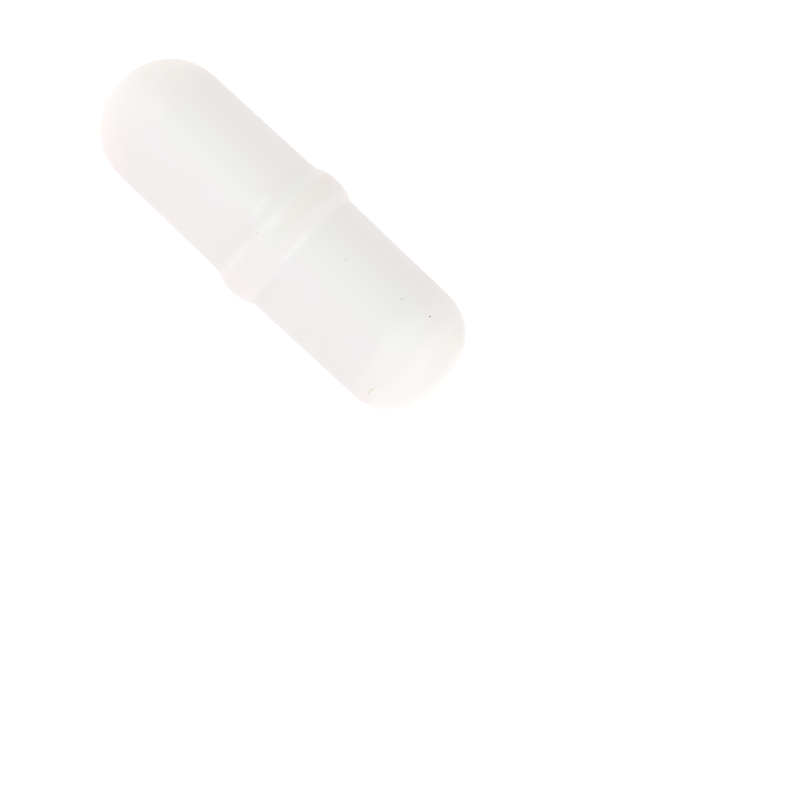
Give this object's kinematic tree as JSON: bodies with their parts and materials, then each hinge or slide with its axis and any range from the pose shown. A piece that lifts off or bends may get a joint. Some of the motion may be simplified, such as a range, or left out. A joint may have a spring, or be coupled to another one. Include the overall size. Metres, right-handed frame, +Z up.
{
  "type": "magnetic stir bar",
  "caption": "Magnetic stir bar with a pivot ring: a rod magnet sealed in a one-piece PTFE jacket with rounded ends, spun in a vessel by a stirrer's field.",
  "frame": {"origin": "centre of the pivot ring, on the bar's axis", "axes": "+X along the bar's axis towards end B, the blunter end; +Z up; the bar lies level"},
  "size_m": [0.025, 0.0086, 0.0088],
  "materials": {
    "ptfe": "satin",
    "alnico": "matte"
  },
  "bodies": {
    "root": {"ptfe_jacket": "ptfe", "bar_magnet": "alnico"}
  },
  "joints": []
}
